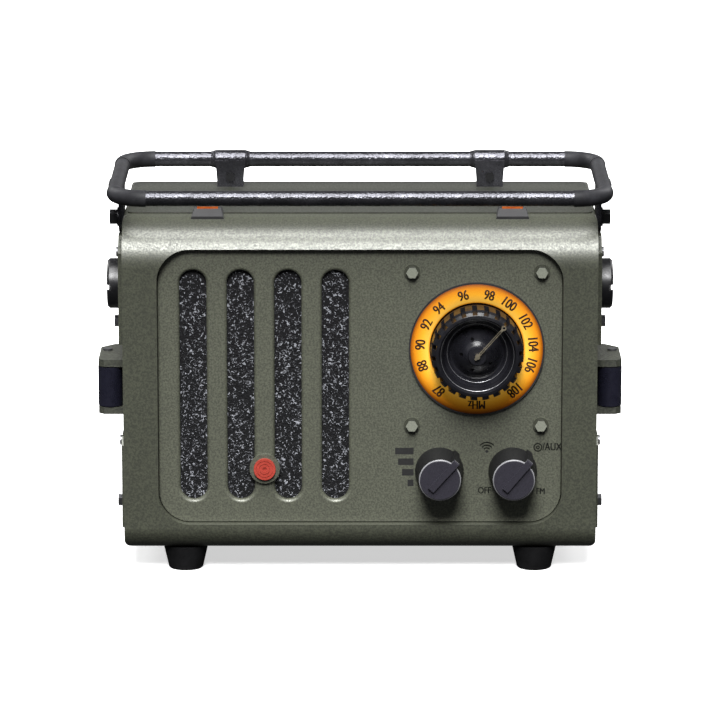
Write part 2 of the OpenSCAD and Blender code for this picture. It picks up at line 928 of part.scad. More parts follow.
module control_nuts() {
    color("#c3c5c8") control_places() translate([0, panel_face - nut_t, 0]) difference() {
        hex_y(nut_across, nut_t);
        translate([0, -eps, 0]) rod_y(thread_r + fit, nut_t + 2 * eps);
    }
}

// ---- loudspeaker ----

module speaker_place() {
    place(grille_x, 0, grille_z) children();
}

module speaker_screw_places() {
    for (a = [45 : 90 : 315])
        speaker_place() clock(a) translate([0, 0, speaker_screw_r]) children();
}

module speaker_baffle() {
    color("#262626") difference() {
        place(grille_x, foam_back, grille_z) plate_y(foam_w, foam_h, baffle_t, 4);
        place(grille_x, foam_back - eps, grille_z) rod_y(speaker_r - speaker_edge, baffle_t + 2 * eps);
        speaker_screw_places() translate([0, foam_back + 1, 0]) rod_y(screw_r + fit, baffle_t);
    }
}

module speaker_basket() {
    depth = speaker_cone_d + 3;
    throat_r = magnet_r - 12;
    rim_r = speaker_r - speaker_edge;
    color("#303236") difference() {
        speaker_place() translate([0, baffle_back, 0]) union() {
            rod_y(speaker_r, speaker_flange_t);
            translate([0, speaker_flange_t, 0])
                rotate([-90, 0, 0]) cylinder(r1 = rim_r + 1.4, r2 = magnet_r - 4, h = depth);
            translate([0, speaker_flange_t + depth, 0]) rod_y(magnet_r, magnet_t);
        }
        speaker_place() translate([0, baffle_back, 0]) {
            translate([0, -eps, 0]) rod_y(rim_r, speaker_flange_t + eps);
            translate([0, speaker_flange_t, 0])
                rotate([-90, 0, 0]) cylinder(r1 = rim_r, r2 = throat_r, h = depth);
        }
        speaker_screw_places() translate([0, baffle_back - eps, 0]) rod_y(screw_r + fit, 4);
    }
}

module speaker_cone() {
    rim_r = speaker_r - speaker_edge - fit;
    cap_r = 11;
    color("#121212") speaker_place() translate([0, baffle_back, 0]) rotate([-90, 0, 0])
        rotate_extrude() polygon([
            [rim_r, 0], [rim_r - 1, 0], [cap_r, speaker_cone_d - 4], [cap_r - 4, speaker_cone_d - 5],
            [0, speaker_cone_d - 7], [0, speaker_cone_d - 5.8], [cap_r - 4, speaker_cone_d - 3],
            [cap_r + 0.6, speaker_cone_d - 2.4], [rim_r, 1.6]
        ]);
}

module speaker_screws() {
    color("#8c8f93") speaker_screw_places() {
        translate([0, foam_back + 1 + fit, 0]) rod_y(screw_r, baffle_t - 1 + speaker_flange_t - fit);
        translate([0, baffle_back + speaker_flange_t, 0]) rod_y(screw_head_r, screw_head_t);
    }
}

// ---- electronics ----

module board_post_places() {
    for (sx = [-1, 1], sz = [-1, 1])
        place(dial_x + sx * (back_w / 2 - 6), 0, dial_z + sz * (back_h / 2 - 16)) children();
}

module main_board() {
    color("#1f5b3a") difference() {
        place(dial_x, board_y, board_z) plate_y(board_w, board_h, board_t, 2);
        board_post_places() translate([0, board_y - eps, 0]) rod_y(screw_r + fit, board_t + 2 * eps);
    }
}

module board_parts() {
    chips = [[-20, 28, 14, 14, 2], [12, 30, 10, 16, 3], [-22, -6, 18, 10, 6], [18, -4, 12, 12, 1.6],
             [0, -34, 26, 9, 8]];
    cans = [[-32, 8, 4, 11], [-32, -20, 4, 11], [30, 16, 5, 13], [30, -24, 3.2, 8]];
    color("#1a1a1c") place(dial_x, board_y + board_t, board_z) {
        for (c = chips)
            translate([c[0] - c[2] / 2, 0, c[1] - c[3] / 2]) cube([c[2], c[4], c[3]]);
        for (c = cans)
            translate([c[0], 0, c[1]]) rod_y(c[2], c[3]);
    }
}

module board_posts() {
    color("#b08d4a") board_post_places() {
        translate([0, back_back, 0]) rod_y(post_r, board_y - back_back);
        translate([0, board_y, 0]) rod_y(screw_r, board_t);
        translate([0, board_y + board_t, 0]) rod_y(screw_head_r, screw_head_t);
    }
}

// ---- battery and rear cover ----

module battery_pack() {
    saddle_t = 4;
    color("#2f5f9e") {
        for (s = [-1, 1])
            place(pack_x - pack_len / 2, pack_y + s * (pack_r + 0.4), pack_z) rod_x(pack_r, pack_len);
        difference() {
            place(pack_x - pack_len / 2 + 6, pack_y - 2 * pack_r, foot_h + wall)
                cube([pack_len - 12, 4 * pack_r, pack_z - foot_h - wall]);
            for (s = [-1, 1])
                place(pack_x - pack_len / 2, pack_y + s * (pack_r + 0.4), pack_z)
                    rod_x(pack_r - fit, pack_len);
            place(pack_x - pack_len / 2 + 6 + saddle_t, pack_y - 2 * pack_r - eps, foot_h + wall + saddle_t)
                cube([pack_len - 12 - 2 * saddle_t, 4 * pack_r + 2 * eps, pack_z]);
        }
    }
}

module cover_bolt_places() {
    for (sx = [-1, 1], sz = [-1, 1])
        place(pack_x + sx * cover_bolt_dx / 2, 0, pack_z + sz * cover_bolt_dz / 2) children();
}

module battery_cover() {
    color("#63655a") difference() {
        place(pack_x, rear_y - cover_t, pack_z)
            plate_y(cover_w - 2 * air, cover_h - 2 * air, cover_t, cover_r - air);
        cover_bolt_places() translate([0, rear_y - cover_t - eps, 0])
            rod_y(screw_r + fit, cover_t + 2 * eps);
    }
}

module cover_bolts() {
    color("#2c2c2e") cover_bolt_places() {
        translate([0, rear_y, 0]) rod_y(washer_r, washer_t);
        translate([0, rear_y + washer_t, 0]) hex_y(hex_across, hex_t);
        translate([0, rear_y - cover_t - 3, 0]) rod_y(screw_r, cover_t + 3);
    }
}

// ---- sockets behind a hinged flap ----

module socket_tray() {
    start = rear_y - bay_d;
    color("#2b2c2e") place(bay_x, 0, bay_z) difference() {
        union() {
            translate([0, start - bay_wall, 0])
                plate_y(bay_w - 2 * fit, bay_h - 2 * fit, bay_d + bay_wall, bay_r - fit);
            translate([0, rear_y - wall - bay_wall, 0]) plate_y(bay_w + 5, bay_h + 5, bay_wall, bay_r);
        }
        translate([0, start, 0])
            plate_y(bay_w - 2 * bay_wall, bay_h - 2 * bay_wall, bay_d + eps, bay_r - bay_wall + 0.2);
        translate([0, start - bay_wall - eps, usb_dz])
            plate_y(usb_w + 2 * fit, usb_h + 2 * fit, bay_wall + 2 * eps, usb_h / 2);
        translate([-bay_w / 2 - eps, flap_hinge_y, flap_hinge_z - bay_z])
            rod_x(flap_pin_r + run, bay_w + 2 * eps);
    }
}

// The audio socket beside the flap, held to the back wall by its rim
module aux_jack() {
    blind = 1.5;
    color("#c9a95a") place(jack_x, rear_y, jack_z) difference() {
        union() {
            rod_y(jack_rim_r, jack_rim_t);
            translate([0, -wall, 0]) rod_y(jack_body_r, wall);
            translate([0, -wall - jack_depth, 0]) rod_y(jack_rim_r, jack_depth);
        }
        translate([0, blind - wall - jack_depth, 0]) rod_y(jack_r, jack_depth + wall + jack_rim_t);
    }
}

module usb_socket() {
    depth = 9;
    shell_t = 0.35;
    tongue_t = 0.7;
    color("#c3c5c8") place(bay_x, rear_y - bay_d, bay_z + usb_dz) {
        difference() {
            translate([0, -depth, 0]) plate_y(usb_w, usb_h, depth, usb_h / 2 - 0.01);
            translate([0, 1.2 - depth, 0])
                plate_y(usb_w - 2 * shell_t, usb_h - 2 * shell_t, depth, usb_h / 2 - shell_t - 0.01);
        }
        translate([-usb_w / 2 + 1.4, 1 - depth, -tongue_t / 2]) cube([usb_w - 2.8, depth - 2, tongue_t]);
    }
}

module port_flap() {
    w = bay_w - 2 * bay_wall - 2 * air;
    pin_out = bay_wall + air - 0.8;
    hinge = flap_hinge_z - bay_z;
    low = -bay_h / 2 + bay_wall + air;
    lip_w = 10;
    lip_t = 1.4;
    flap_bead = 0.15;
    color("#1d1d1f") place(bay_x, 0, bay_z) {
        translate([-w / 2, flap_hinge_y - flap_t / 2, low]) cube([w, flap_t, hinge - low]);
        translate([-w / 2, flap_hinge_y, hinge]) rod_x(flap_t / 2 + flap_bead, w);
        translate([-w / 2 - pin_out, flap_hinge_y, hinge]) rod_x(flap_pin_r, w + 2 * pin_out);
        translate([-lip_w / 2, flap_hinge_y, low]) cube([lip_w, flap_t / 2 + 1, lip_t]);
    }
}

// ---- feet ----

module feet() {
    groove = 0.6;
    color("#161616") foot_places() {
        cylinder(r1 = foot_base_r - groove, r2 = foot_base_r, h = groove);
        translate([0, 0, groove]) cylinder(r1 = foot_base_r, r2 = foot_top_r, h = foot_h - groove);
        translate([0, 0, foot_h]) cylinder(r = foot_plug_r, h = wall);
    }
}

// ---- roof rack ----

module rack_rails() {
    color("#26262a") for (y = [-rack_front, rack_rear])
        place(-rail_half, y, rack_z) rod_x(rail_r, 2 * rail_half);
}

module rack_sides() {
    straight = rack_rear + rack_front - 2 * rack_corner;
    collar = 3;
    color("#1c1c1f") both_sides() {
        place(rail_half, rack_corner - rack_front, rack_z)
            rotate([0, 0, -90]) rotate_extrude(angle = 90) translate([rack_corner, 0]) circle(elbow_r);
        place(rail_half, rack_rear - rack_corner, rack_z)
            rotate_extrude(angle = 90) translate([rack_corner, 0]) circle(elbow_r);
        place(rack_x, rack_corner - rack_front, rack_z) rod_y(rail_r, straight);
        for (y = [rack_corner - rack_front, rack_rear - rack_corner - collar])
            place(rack_x, y, rack_z) rod_y(elbow_r, collar);
    }
}

module rack_clamps() {
    color("#26262a") both_sides() place(clamp_dx / 2, rack_rear, rack_z) {
        difference() {
            union() {
                translate([-clamp_len / 2 + clamp_taper, 0, 0]) rod_x(clamp_r, clamp_len - 2 * clamp_taper);
                translate([clamp_len / 2 - clamp_taper, 0, 0])
                    rotate([0, 90, 0]) cylinder(r1 = clamp_r, r2 = rail_r + 0.2, h = clamp_taper);
                translate([-clamp_len / 2 + clamp_taper, 0, 0])
                    rotate([0, -90, 0]) cylinder(r1 = clamp_r, r2 = rail_r + 0.2, h = clamp_taper);
                translate([0, tab_t / 2 - clamp_r, 0]) rotate([90, 0, 0]) linear_extrude(tab_t) polygon([
                    [-tab_w / 2, 0], [tab_w / 2, 0],
                    [tab_base_w / 2, top_plate_t + block_t - rack_rise - 1],
                    [-tab_base_w / 2, top_plate_t + block_t - rack_rise - 1]
                ]);
                translate([-tab_base_w / 2, -clamp_r - tab_t / 2, top_plate_t - rack_rise])
                    cube([tab_base_w, block_d, block_t]);
            }
            translate([-clamp_len, 0, 0]) rod_x(rail_r + fit, 2 * clamp_len);
            translate([0, -clamp_r - tab_t, -rack_rise / 2 - 1]) rod_y(screw_r + fit, 3 * tab_t);
        }
    }
}

// A flat foot on the side wall that rises to a saddle under the rack's side tube
module rack_brackets() {
    saddle = 2 * rail_r;
    color("#1c1c1f") both_sides() place(rack_x, bracket_y, rack_z) difference() {
        union() {
            translate([-rack_over, -bracket_w / 2, -rail_r - 1.5]) cube([saddle, bracket_w, rail_r + 1.5]);
            translate([-rack_over, -bracket_w / 2, -bracket_drop])
                cube([bracket_t, bracket_w, bracket_drop]);
            translate([-rack_over, 0, -bracket_drop]) rod_x(bracket_w / 2, bracket_t);
        }
        translate([0, -bracket_w, 0]) rod_y(rail_r + fit, 2 * bracket_w);
        translate([-rack_over - eps, 0, -bracket_drop]) rod_x(screw_r + fit, bracket_t + 2 * eps);
    }
}

module rack_bolts() {
    color("#0f0f10") both_sides() {
        place(side_x + bracket_t, bracket_y, rack_z - bracket_drop) {
            rod_x(side_bolt_across / 2 + 1.6, 1);
            translate([1, 0, 0]) hex_x(side_bolt_across, side_bolt_t - 1);
            translate([-bracket_t, 0, 0]) rod_x(screw_r, bracket_t);
        }
        place(clamp_dx / 2, rack_rear - clamp_r - tab_t / 2, rack_z - rack_rise / 2 - 1) {
            translate([0, -screw_head_t, 0]) rod_y(screw_head_r - 0.3, screw_head_t);
            rod_y(screw_r, tab_t);
        }
    }
}

// ---- marker lamps ----

// Outline of a marker lamp in X and Z
module marker_outline(lo_w, hi_w, h) {
    polygon([[-lo_w / 2, 0], [lo_w / 2, 0], [hi_w / 2, h], [-hi_w / 2, h]]);
}

module marker_block() {
    intersection() {
        rotate([90, 0, 0]) translate([0, 0, -marker_d]) linear_extrude(marker_d)
            translate([0, -2]) marker_outline(marker_w + 1, marker_top_w, marker_t + 2);
        run_x(2 * marker_w) polygon([
            [0, -2], [0, 0.4], [marker_slope, marker_t], [marker_d - 1, marker_t], [marker_d, marker_t - 1],
            [marker_d, -2]
        ]);
    }
}

module marker_housings() {
    color("#131313") difference() {
        both_sides() place(marker_dx / 2, marker_y, top_z) marker_block();
        translate([0, front_y, 0]) run_x(case_w) side_outline(0);
        both_sides() place(marker_dx / 2, marker_y, top_z) lens_block();
        top_plate_block();
    }
}

module lens_block() {
    w = marker_top_w - 2 * lens_inset;
    translate([-w / 2, marker_slope - 0.4, marker_t - lens_t])
        cube([w, marker_d - marker_slope - 2, 2 * lens_t]);
}

module marker_lenses() {
    color("#ff7a1a") both_sides() place(marker_dx / 2, marker_y, top_z) lens_block();
}

// ---- side plates and caps ----

// Outline of a side plate in Y and Z with its top corners cut
module side_plate_outline(h, bevel) {
    polygon([
        [0, 0], [plate_d, 0], [plate_d, h - bevel], [plate_d - bevel, h],
        [bevel, h], [0, h - bevel]
    ]);
}

module on_side(y, z) {
    place(side_x, y, z) children();
}

module side_plates() {
    mid_y = plate_y + plate_d / 2;
    color("#5d5f50") both_sides() difference() {
        union() {
            on_side(plate_y, upper_plate_z) translate([side_plate_t / 2, 0, 0])
                run_x(side_plate_t) side_plate_outline(upper_plate_h, plate_bevel);
            on_side(plate_y, lower_plate_z) translate([lower_plate_t / 2, 0, 0])
                run_x(lower_plate_t) side_plate_outline(lower_plate_h, plate_bevel / 2);
        }
        on_side(mid_y, rack_z - bracket_drop) translate([-eps, 0, 0])
            rod_x(bracket_w / 2 + air, side_plate_t + 2 * eps);
        on_side(mid_y - bracket_w / 2 - air, rack_z - bracket_drop) translate([-eps, 0, 0])
            cube([side_plate_t + 2 * eps, bracket_w + 2 * air, bracket_drop]);
        for (z = [disc_z, upper_hex_z, upper_screw_z, lower_hex_z, lower_screw_z])
            on_side(mid_y, z) translate([-eps, 0, 0]) rod_x(screw_r + fit, side_plate_t + 2 * eps);
    }
}

module side_discs() {
    notch_w = 3;
    color("#101012") both_sides() on_side(plate_y + plate_d / 2, disc_z) translate([side_plate_t, 0, 0])
        difference() {
            union() {
                rod_x(disc_r, disc_t - disc_rim);
                translate([disc_t - disc_rim, 0, 0])
                    rotate([0, 90, 0]) cylinder(r1 = disc_r, r2 = disc_r - disc_rim, h = disc_rim);
            }
            translate([disc_t - 1.2, 0, 0]) rod_x(disc_r - 3.4, 2);
            translate([disc_t - 2.4, -disc_r - eps, -notch_w / 2]) cube([3, 2 * disc_r + 1, notch_w]);
            translate([-eps, 0, 0]) rod_x(screw_r + fit, disc_t + 1);
        }
}

module side_bolts() {
    mid_y = plate_y + plate_d / 2;
    hex_out = 3.4;
    color("#3a3a3c") both_sides() {
        for (z = [upper_hex_z, lower_hex_z]) {
            base_t = z == upper_hex_z ? side_plate_t : lower_plate_t;
            on_side(mid_y, z) {
                rod_x(screw_r, base_t);
                translate([base_t, 0, 0]) rod_x(hex_across / 2 + 1, 0.6);
                translate([base_t + 0.6, 0, 0]) hex_x(hex_across, hex_out - 1);
            }
        }
        for (z = [upper_screw_z, lower_screw_z]) {
            base_t = z == upper_screw_z ? side_plate_t : lower_plate_t;
            on_side(mid_y, z) {
                rod_x(screw_r, base_t);
                translate([base_t, 0, 0]) rod_x(screw_head_r, screw_head_t);
            }
        }
        on_side(mid_y, disc_z) rod_x(screw_r, side_plate_t + disc_t - 2.6);
    }
}

// ---- draw latches ----

module latch_place(y) {
    place(side_x, y, latch_z) children();
}

module ear_outline() {
    nose = 3;
    polygon([
        [0, 0], [ear_out - nose, 0], [ear_out, nose], [ear_out, ear_d - 8], [ear_out - 7, ear_d], [0, ear_d]
    ]);
}

module latch_brackets() {
    half = ear_gap / 2;
    color("#55574a") both_sides() latch_place(ear_y) difference() {
        union() {
            for (s = [-1, 1])
                translate([0, 0, s * (half + ear_t / 2) - ear_t / 2]) linear_extrude(ear_t) ear_outline();
            translate([0, 0, -half - eps]) cube([latch_base_t, ear_d, ear_gap + 2 * eps]);
        }
        translate([latch_pin_out, latch_pin_y - ear_y, -half - ear_t - eps])
            cylinder(r = rivet_r + fit, h = ear_gap + 2 * ear_t + 2 * eps);
    }
}

module latch_rivets() {
    inner = lever_h / 2 - cheek_t;
    outer = ear_gap / 2 + ear_t;
    color("#8c8f93") both_sides() latch_place(latch_pin_y) for (s = [-1, 1])
        mirror([0, 0, s < 0 ? 1 : 0]) {
            translate([latch_pin_out, 0, inner]) cylinder(r = rivet_r, h = outer - inner);
            translate([latch_pin_out, 0, outer]) cylinder(r = rivet_head_r, h = rivet_head_t);
        }
}

// Cheek of the lever in X and Y, measured from the side wall and the latch pin
module cheek_outline() {
    grip_dy = grip_y - latch_pin_y;
    tuck = 0.8;
    translate([latch_pin_out, 0]) circle(cheek_r);
    polygon([
        [latch_pin_out - cheek_r + tuck, 0.5], [latch_pin_out + cheek_r - tuck, 0.5],
        [grip_out + grip_r - tuck, grip_dy + 1], [grip_out - grip_r + tuck, grip_dy + 1]
    ]);
}

// Rolled front end of the lever and the web that runs back from it
module grip_outline() {
    skin = 0.2;
    translate([grip_out, grip_y - latch_pin_y]) circle(grip_r);
    translate([grip_out + grip_r - web_t - skin, grip_y - latch_pin_y])
        square([web_t, web_end_y - grip_y]);
}

module lever() {
    color("#1a1b21") latch_place(latch_pin_y) difference() {
        union() {
            for (s = [-1, 1])
                translate([0, 0, s * (lever_h - cheek_t) / 2 - cheek_t / 2])
                    linear_extrude(cheek_t) cheek_outline();
            translate([0, 0, -lever_h / 2]) linear_extrude(lever_h) grip_outline();
        }
        translate([latch_pin_out, 0, -lever_h]) cylinder(r = rivet_r + run, h = 2 * lever_h);
        translate([latch_pin_out, bail_y - latch_pin_y, -lever_h])
            cylinder(r = bail_r + run, h = 2 * lever_h);
    }
}

module latch_lever_right() {
    lever();
}

module latch_lever_left() {
    mirror([1, 0, 0]) lever();
}

module bail() {
    len = bail_end_y - bail_y;
    stub = lever_h / 2 - bail_half;
    color("#a3a6aa") place(side_x + latch_pin_out, bail_y, latch_z) {
        for (s = [-1, 1]) {
            translate([0, 0, s * bail_half]) rod_y(bail_r, len);
            translate([0, 0, s * bail_half]) sphere(bail_r);
            translate([0, len, s * bail_half]) sphere(bail_r);
            translate([0, 0, s > 0 ? bail_half : -bail_half - stub]) cylinder(r = bail_r, h = stub);
        }
        translate([0, len, -bail_half]) cylinder(r = bail_r, h = 2 * bail_half);
    }
}

module latch_bail_right() {
    bail();
}

module latch_bail_left() {
    mirror([1, 0, 0]) bail();
}

module latch_keepers() {
    edge_y = bail_end_y - bail_r - keeper_gap;
    start = edge_y - keeper_t;
    color("#55574a") both_sides() latch_place(0) {
        translate([0, start, -keeper_w / 2]) cube([latch_pin_out + 1.6, keeper_t, keeper_w]);
        translate([0, start - 2, -keeper_w]) cube([keeper_base_t, keeper_d, 2 * keeper_w]);
    }
}

// ---- selection ----

front_shell();
rear_shell();
case_gasket();
top_plate();
front_panel();
grille_foam();
button_boss();
red_button();
button_switch();
dial_bezel();
dial_scale();
light_ring();
dial_backplate();
dial_bolts();
tuner_tyre();
tuner_hub();
tuner_needle();
tuner_shaft();
tuner_bush();
capacitor_frame();
capacitor_rotor();
volume_knob();
volume_shaft();
volume_control();
mode_knob();
mode_shaft();
mode_switch();
control_nuts();
speaker_baffle();
speaker_basket();
speaker_cone();
speaker_screws();
main_board();
board_parts();
board_posts();
battery_pack();
battery_cover();
cover_bolts();
socket_tray();
aux_jack();
usb_socket();
port_flap();
feet();
rack_rails();
rack_sides();
rack_clamps();
rack_brackets();
rack_bolts();
marker_housings();
marker_lenses();
side_plates();
side_discs();
side_bolts();
latch_brackets();
latch_rivets();
latch_lever_left();
latch_lever_right();
latch_bail_left();
latch_bail_right();
latch_keepers();
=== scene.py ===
import math

import bmesh
import bpy
from mathutils import Matrix, Vector


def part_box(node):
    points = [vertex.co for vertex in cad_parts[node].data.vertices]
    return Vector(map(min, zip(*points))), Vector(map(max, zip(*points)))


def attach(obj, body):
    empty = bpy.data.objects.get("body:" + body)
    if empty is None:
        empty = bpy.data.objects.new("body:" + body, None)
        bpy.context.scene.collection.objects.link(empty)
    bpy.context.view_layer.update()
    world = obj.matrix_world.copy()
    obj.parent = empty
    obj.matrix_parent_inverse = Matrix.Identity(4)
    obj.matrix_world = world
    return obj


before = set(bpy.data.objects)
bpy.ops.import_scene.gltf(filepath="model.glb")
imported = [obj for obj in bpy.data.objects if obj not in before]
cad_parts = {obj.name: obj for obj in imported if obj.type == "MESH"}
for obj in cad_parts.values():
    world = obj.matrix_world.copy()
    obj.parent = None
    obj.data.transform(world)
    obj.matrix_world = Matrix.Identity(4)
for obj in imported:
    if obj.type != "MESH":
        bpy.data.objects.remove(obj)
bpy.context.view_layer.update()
MM = 0.001

# Lengths whose name doesn't say MM are in metres.
CAMERA_TILT_DEG = 12.5
CAMERA_AWAY = 2.5
CAMERA_AIM_Z = 0.1168
CAMERA_LENS_MM = 237.5
FLOOR_HALF_SIDE = 7
WORLD_STRENGTH = 0.06

# Full scale of the bolts' and knobs' ramps, out from the panel's face.
BOLT_RISE_MM = 3.4
KNOB_SPAN_MM = 24

# The numbered ring: its colour bands, then its crown and the print on it.
DIAL_IN_R = 0.0249
DIAL_WIDTH = 0.0100
DIAL_OUT_R = 0.035
CROWN_R_MM = 12.0
CROWN_MID_R_MM = 30.9
DIGIT_R_MM = 29.9
DIGIT_TALL_MM = 5.3
UNIT_TALL_MM = 4.4
CUT_STEP_MM = 0.6
DIAL_PRINT_LIFT = 0.00006

PANEL_PRINT_LIFT = 0.00004
BAR_HALF_MM = 1.79
TRIM_WIRE_MM = 0.16
SHARP_DEG = 32
BEVEL_DEG = 40


def centre(node):
    """Middle of a CAD node's box."""
    lo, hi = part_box(node)
    return [(a + b) / 2 for a, b in zip(lo, hi)]


PANEL_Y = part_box("front_panel")[0][1]
FRONT_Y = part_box("front_shell")[0][1]
DIAL = centre("dial_bezel")
VOLUME = centre("volume_shaft")
MODE = centre("mode_shaft")
RING_RISE = (PANEL_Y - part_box("dial_scale")[0][1]) / MM


# ---- camera, stage and light ----

def set_camera():
    """A long lens straight in front, looking down a little."""
    tilt = math.radians(CAMERA_TILT_DEG)
    target = Vector((0, FRONT_Y, CAMERA_AIM_Z))
    camera = bpy.data.objects.new("camera", bpy.data.cameras.new("camera"))
    bpy.context.collection.objects.link(camera)
    camera.location = target + CAMERA_AWAY * Vector((0, -math.cos(tilt), math.sin(tilt)))
    camera.rotation_euler = (math.pi / 2 - tilt, 0, 0)
    camera.data.lens = CAMERA_LENS_MM
    camera.data.sensor_width = 36
    camera.data.clip_end = 50
    bpy.context.scene.camera = camera


def set_stage():
    """Pale paper under the object."""
    mesh = bpy.data.meshes.new("floor")
    side = FLOOR_HALF_SIDE
    corners = [(-side, -side, 0), (side, -side, 0), (side, side, 0), (-side, side, 0)]
    mesh.from_pydata(corners, [], [(0, 1, 2, 3)])
    floor = bpy.data.objects.new("floor", mesh)
    bpy.context.collection.objects.link(floor)
    mat = bpy.data.materials.new("floor_paper")
    mat.use_nodes = True
    shader = mat.node_tree.nodes["Principled BSDF"]
    shader.inputs["Base Color"].default_value = (0.9, 0.9, 0.9, 1)
    shader.inputs["Roughness"].default_value = 0.9
    shader.inputs["Specular IOR Level"].default_value = 0.0
    shader.inputs["Emission Color"].default_value = (1, 1, 1, 1)
    shader.inputs["Emission Strength"].default_value = 0.6
    mesh.materials.append(mat)
    floor.visible_diffuse = False
    floor.visible_glossy = False


def add_sun(name, elevation, azimuth, strength, angle):
    """A soft sun; angles are in degrees, and azimuth 0 is in front of the object."""
    lamp = bpy.data.lights.new(name, "SUN")
    lamp.energy = strength
    lamp.angle = math.radians(angle)
    sun = bpy.data.objects.new(name, lamp)
    e, a = math.radians(elevation), math.radians(azimuth)
    towards = Vector((math.sin(a) * math.cos(e), -math.cos(a) * math.cos(e), math.sin(e)))
    sun.rotation_euler = towards.to_track_quat("Z", "Y").to_euler()
    bpy.context.collection.objects.link(sun)


def set_light():
    world = bpy.data.worlds.new("studio")
    world.use_nodes = True
    world.node_tree.nodes["Background"].inputs["Color"].default_value = (0.95, 0.97, 1.0, 1)
    world.node_tree.nodes["Background"].inputs["Strength"].default_value = WORLD_STRENGTH
    bpy.context.scene.world = world
    add_sun("key_low", 44, -4, 4.2, 20)
    add_sun("key_high", 71, -4, 4.3, 34)
    add_sun("back_low", 10, 180, 0.06, 24)
    add_sun("back_left", 32, -140, 1.3, 30)
    add_sun("back_right", 32, 140, 1.3, 30)
    add_sun("left_rim", 30, -80, 0.25, 30)
    add_sun("right_rim", 30, 80, 0.25, 30)
    bpy.context.scene.view_settings.view_transform = "Standard"


set_camera()
set_stage()
set_light()


# ---- node material kit ----

class Look:
    """One procedural material: a Principled shader and the nodes that feed it."""

    def __init__(self, name):
        self.mat = bpy.data.materials.new(name)
        self.mat.use_nodes = True
        self.tree = self.mat.node_tree
        self.shader = self.tree.nodes["Principled BSDF"]
        self.where = self.node("ShaderNodeTexCoord").outputs["Object"]
        self.normal = None

    def node(self, kind, props=None, **inputs):
        made = self.tree.nodes.new(kind)
        for key, value in (props or {}).items():
            setattr(made, key, value)
        for key, value in inputs.items():
            self.put(made.inputs[key.replace("_", " ")], value)
        return made

    def put(self, socket, value):
        """Links an output to the socket, or sets the socket's value."""
        if hasattr(value, "is_output"):
            self.tree.links.new(value, socket)
        elif isinstance(value, (tuple, list)) and len(value) == 3 and socket.type == "RGBA":
            socket.default_value = (*value, 1)
        else:
            socket.default_value = value

    def set(self, **inputs):
        for key, value in inputs.items():
            self.put(self.shader.inputs[key.replace("_", " ")], value)
        return self

    def noise(self, size_mm, detail=2.0, rough=0.5, twist=0.0, at=None):
        made = self.node("ShaderNodeTexNoise", Vector=at or self.where, Scale=1 / (size_mm * MM),
                         Detail=detail, Roughness=rough, Distortion=twist)
        return made.outputs["Fac"]

    def cells(self, size_mm):
        made = self.node("ShaderNodeTexVoronoi", {"feature": "SMOOTH_F1"}, Vector=self.where,
                         Scale=1 / (size_mm * MM))
        return made.outputs["Distance"]

    def stretch(self, x, y, z):
        made = self.node("ShaderNodeVectorMath", {"operation": "MULTIPLY"})
        self.put(made.inputs[0], self.where)
        made.inputs[1].default_value = (x, y, z)
        return made.outputs["Vector"]

    def ramp(self, fac, *stops):
        """Colour ramp; each stop is a position and a colour or a grey."""
        made = self.node("ShaderNodeValToRGB", Fac=fac)
        band = made.color_ramp.elements
        while len(band) < len(stops):
            band.new(0.5)
        for element, (at, colour) in zip(band, stops):
            element.position = at
            element.color = (*colour, 1) if isinstance(colour, tuple) else (colour, colour, colour, 1)
        return made.outputs["Color"]

    def maths(self, operation, a, b=0.0):
        made = self.node("ShaderNodeMath", {"operation": operation})
        self.put(made.inputs[0], a)
        self.put(made.inputs[1], b)
        return made.outputs["Value"]

    def mix(self, fac, a, b, how="MIX"):
        made = self.node("ShaderNodeMix", {"data_type": "RGBA", "blend_type": how})
        self.put(made.inputs["Factor"], fac)
        self.put(made.inputs[6], a)
        self.put(made.inputs[7], b)
        return made.outputs[2]

    def bump(self, height, depth_mm, strength):
        """Adds a bump on top of those before it."""
        made = self.node("ShaderNodeBump", Height=height, Distance=depth_mm * MM, Strength=strength)
        if self.normal:
            self.put(made.inputs["Normal"], self.normal)
        self.normal = made.outputs["Normal"]
        self.put(self.shader.inputs["Normal"], self.normal)

    def axis(self, letter):
        return self.node("ShaderNodeSeparateXYZ", Vector=self.where).outputs[letter]

    def out_of_panel(self, full_mm):
        """Distance out of the panel's face, as a share of full_mm."""
        return self.maths("MULTIPLY", self.maths("SUBTRACT", PANEL_Y, self.axis("Y")), 1 / (full_mm * MM))

    def radius(self, x, z):
        """Distance from an axis along Y, in metres."""
        flat = self.node("ShaderNodeVectorMath", {"operation": "SUBTRACT"})
        self.put(flat.inputs[0], self.where)
        flat.inputs[1].default_value = (x, 0, z)
        wiped = self.node("ShaderNodeVectorMath", {"operation": "MULTIPLY"})
        self.put(wiped.inputs[0], flat.outputs["Vector"])
        wiped.inputs[1].default_value = (1, 0, 1)
        length = self.node("ShaderNodeVectorMath", {"operation": "LENGTH"})
        self.put(length.inputs[0], wiped.outputs["Vector"])
        return length.outputs["Value"]


def shade(colour, by):
    return tuple(max(0.0, c * by) for c in colour)


def sand_paint(name, colour, grain_mm=1.0, depth_mm=0.07, rough=0.41):
    """Sand-textured metallic paint on a casting: fine grain and faint clouding."""
    look = Look(name)
    grain = look.noise(grain_mm, 3, 0.6)
    cloud = look.noise(22, 3, 0.55)
    body = look.ramp(grain, (0.38, shade(colour, 0.66)), (0.5, colour), (0.62, shade(colour, 1.4)))
    body = look.mix(1.0, body, look.ramp(cloud, (0.35, 0.97), (0.65, 1.03)), "MULTIPLY")
    look.bump(grain, depth_mm, 0.8)
    return look.set(Base_Color=body, Roughness=look.ramp(grain, (0.3, rough + 0.09), (0.7, rough - 0.08)),
                    Specular_IOR_Level=1.0, Metallic=0.25)


